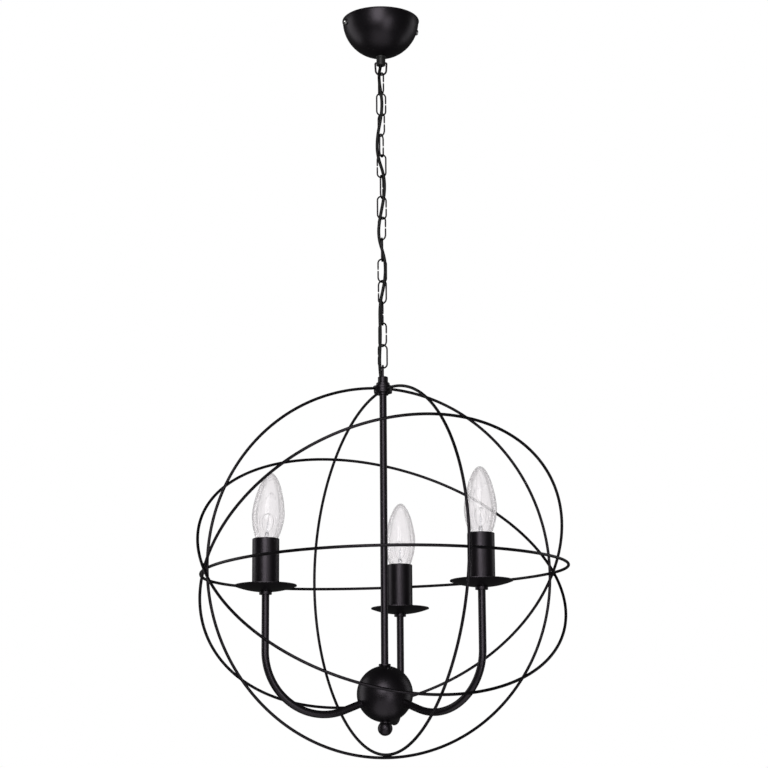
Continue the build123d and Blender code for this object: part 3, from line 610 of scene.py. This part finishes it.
def smooth_profile(points, per=7):
    """Catmull-Rom through the points, in the plane of radius and height."""
    out = []
    n = len(points)
    for i in range(n - 1):
        p0 = Vector(points[max(i - 1, 0)])
        p1, p2 = Vector(points[i]), Vector(points[i + 1])
        p3 = Vector(points[min(i + 2, n - 1)]) if i + 2 < n else Vector((-points[-2][0], points[-2][1]))
        for k in range(per):
            t = k / per
            out.append(0.5 * ((2 * p1) + (p2 - p0) * t + (2 * p0 - 5 * p1 + 4 * p2 - p3) * t * t + (3 * p1 - p0 - 3 * p2 + p3) * t**3))
    out.append(Vector(points[-1]))
    return [(max(0.0, p.x), p.y) for p in out]


for lamp, azimuth, drop, tip, reach in lamps:
    d = Vector((cos(radians(azimuth)), sin(radians(azimuth)), 0))
    foot = (d * reach + UP * drop) * MM
    seat = foot + UP * -615.5 * MM
    lean = (ACROSS * sin(radians(tip)) + UP * cos(radians(tip))).normalized()
    body = "bulb_" + lamp
    outer = smooth_profile(outer_curve)
    inner = [(max(0.0, r - (0.55 if z < 70 else 0.55 + (z - 70) * 0.02)), z + 0.1) for r, z in outer if r > 1.2 and z < 80.8] + [(0.0, 81.7)]
    glass = lathe("bulb_glass_%s_shell" % lamp, outer + inner[::-1], glass_mat, base=seat, lean=lean, sides=96, bevel_sharp=False)
    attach(glass, body)
    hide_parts("bulb_glass_%s" % lamp)

    stem_profile = smooth_profile([(4.9, -3.8), (4.8, -1.0), (4.4, 1.6), (3.0, 4.6), (2.2, 7.6), (1.9, 11.0), (1.9, 14.0)], 5)
    stem_profile = [(0.0, -3.8)] + stem_profile + [(2.3, 15.4), (2.5, 16.6), (2.2, 17.6), (1.2, 18.4), (0.95, 20.0), (0.85, 26.0), (1.25, 27.6), (1.35, 28.5), (0.9, 29.3), (0.0, 29.6)]
    stem = lathe("bulb_stem_%s_glass" % lamp, stem_profile, stem_mat, base=seat, lean=lean, sides=48, closed=False, bevel_sharp=False)
    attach(stem, body)
    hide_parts("bulb_stem_%s" % lamp)

    # lead-in wires, filament arch and its supports
    side = (AWAY.cross(lean)).normalized()
    deep = lean.cross(side)

    def at(x, y, z):
        return seat + (side * x + deep * y + lean * z) * MM

    def run_line(points, per=8):
        vecs = [Vector(p) for p in points]
        out = []
        for i in range(len(vecs) - 1):
            p0, p1, p2, p3 = vecs[max(i - 1, 0)], vecs[i], vecs[i + 1], vecs[min(i + 2, len(vecs) - 1)]
            for k in range(per):
                t = k / per
                out.append(0.5 * ((2 * p1) + (p2 - p0) * t + (2 * p0 - 5 * p1 + 4 * p2 - p3) * t * t + (3 * p1 - p0 - 3 * p2 + p3) * t**3))
        out.append(vecs[-1])
        return [at(*p) for p in out]

    for s, tag in ((-1, "a"), (1, "b")):
        lead = wire("bulb_lead_%s_%s" % (lamp, tag), run_line([(s * 0.9, 0, 15.6), (s * 1.5, 0, 18.5), (s * 4.2, 0, 22.5), (s * 5.6, 0, 27.0), (s * 6.2, 0, 32.0)]), 0.22 * MM, tungsten, sides=8)
        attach(lead, body)
    hook = wire("bulb_hook_%s" % lamp, run_line([(0, 0, 28.8), (0.3, 0.4, 33.0), (0.1, 0.5, 38.2), (0.0, -0.3, 39.3)]), 0.15 * MM, tungsten, sides=8)
    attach(hook, body)
    spine = run_line([(-6.2, 0, 32.0), (-5.0, 0.3, 35.4), (-2.6, 0.2, 38.0), (0, 0, 39.0), (2.6, 0.2, 38.0), (5.0, 0.3, 35.4), (6.2, 0, 32.0)], 90)
    coil = []
    length = 0.0
    prev = spine[0]
    for p, q in zip(spine, spine[1:] + [spine[-1]]):
        length += (p - prev).length
        prev = p
        t = (q - p)
        if t.length < 1e-9:
            continue
        t.normalize()
        u = deep
        v = t.cross(u).normalized()
        ang = 2 * pi * length / (0.42 * MM)
        coil.append(p + (u * cos(ang) + v * sin(ang)) * 0.32 * MM)
    filament = wire("bulb_filament_%s" % lamp, coil, 0.09 * MM, tungsten, sides=6)
    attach(filament, body)

# ------------------------------------------------ finishes on the CAD nodes
finishes = {
    "canopy_screws": zinc,
    "ceiling_bracket": zinc,
    "grip_lock_nut": zinc,
    "terminal_screws": brass,
    "terminal_block": white_plastic,
    "cord_grip": black_plastic,
    "hub_core": turned,
    "lamp_leads": lead_brown,
}
for name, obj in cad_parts.items():
    if obj.hide_render:
        mat = wire_paint
    elif name in finishes:
        mat = finishes[name]
    elif name.startswith("lampholder"):
        mat = black_plastic
    elif name.startswith("bulb_cap"):
        mat = cap_metal
    else:
        mat = paint
    if not obj.material_slots:
        obj.data.materials.append(mat)
    for s in obj.material_slots:
        s.material = mat

# --------------------------------------------------------- stage and light
def plane(name, centre, normal, size, mat):
    z = normal.normalized()
    x = z.orthogonal().normalized()
    y = z.cross(x)
    h = size / 2
    obj = add_mesh(name, [centre + x * sx * h + y * sy * h for sx, sy in ((-1, -1), (1, -1), (1, 1), (-1, 1))], [(0, 1, 2, 3)], mat, smooth=False)
    return obj


floor_mat = coated("pale_floor", (0.80, 0.80, 0.80), (0.84, 0.84, 0.84), 0.7, 40, 0.02)
# the pale floor gives its own soft light, so that it stays pale from every side
floor_shader = next(n for n in floor_mat.node_tree.nodes if n.type == "BSDF_PRINCIPLED")
floor_shader.inputs["Emission Color"].default_value = (0.90, 0.90, 0.90, 1)
floor_shader.inputs["Emission Strength"].default_value = 0.80
ground = plane("floor", Vector((0, 0, -1.9)), UP, 14, floor_mat)
ground.visible_glossy = False
ground.visible_diffuse = False

backdrop_mat = bpy.data.materials.new("white_backdrop")
backdrop_mat.use_nodes = True
tree = backdrop_mat.node_tree
tree.nodes.remove(tree.nodes["Principled BSDF"])
glow = tree.nodes.new("ShaderNodeEmission")
glow.inputs["Color"].default_value = (1, 1, 1, 1)
glow.inputs["Strength"].default_value = 1.0
tree.links.new(glow.outputs["Emission"], tree.nodes["Material Output"].inputs["Surface"])
back = plane("backdrop", cam.location + forward * 9, -forward, 14, backdrop_mat)
back.visible_glossy = False
back.visible_diffuse = False
back.visible_shadow = False

world = bpy.data.worlds.new("studio")
bpy.context.scene.world = world
world.use_nodes = True
world.node_tree.nodes["Background"].inputs["Color"].default_value = (1, 1, 1, 1)
world.node_tree.nodes["Background"].inputs["Strength"].default_value = 0.04
# the room around is white to look at, but the black paint is lit by the softboxes
rays = world.node_tree.nodes.new("ShaderNodeLightPath")
lit = world.node_tree.nodes.new("ShaderNodeMath")
lit.operation = "MAXIMUM"
world.node_tree.links.new(rays.outputs["Is Diffuse Ray"], lit.inputs[0])
world.node_tree.links.new(rays.outputs["Is Glossy Ray"], lit.inputs[1])
dim = world.node_tree.nodes.new("ShaderNodeMapRange")
dim.inputs["To Min"].default_value = 1.0
dim.inputs["To Max"].default_value = 0.04
world.node_tree.links.new(lit.outputs["Value"], dim.inputs["Value"])
world.node_tree.links.new(dim.outputs["Result"], world.node_tree.nodes["Background"].inputs["Strength"])


def softbox(name, at, to, size, power):
    data = bpy.data.lights.new(name, "AREA")
    data.shape = "RECTANGLE"
    data.size, data.size_y = size
    data.energy = power
    obj = bpy.data.objects.new(name, data)
    bpy.context.scene.collection.objects.link(obj)
    direction = (to - at).normalized()
    obj.rotation_euler = direction.to_track_quat("-Z", "Y").to_euler()
    obj.location = at
    return obj


middle = Vector((0, 0, -0.55))
softbox("key", cam.location + ACROSS * -0.3 + UP * 0.9 + AWAY * 0.2, middle, (1.1, 1.6), 25)
softbox("fill", cam.location + ACROSS * 0.9 + UP * -0.2, middle, (0.9, 1.6), 12)
softbox("under", place(0, -500, -1750), middle, (1.6, 1.6), 6)
softbox("side_left", place(-1500, 500, -450), middle, (0.9, 1.8), 5.5)
softbox("side_right", place(1500, 700, -450), middle, (0.7, 1.8), 3)

view = bpy.context.scene.view_settings
view.view_transform = "Standard"
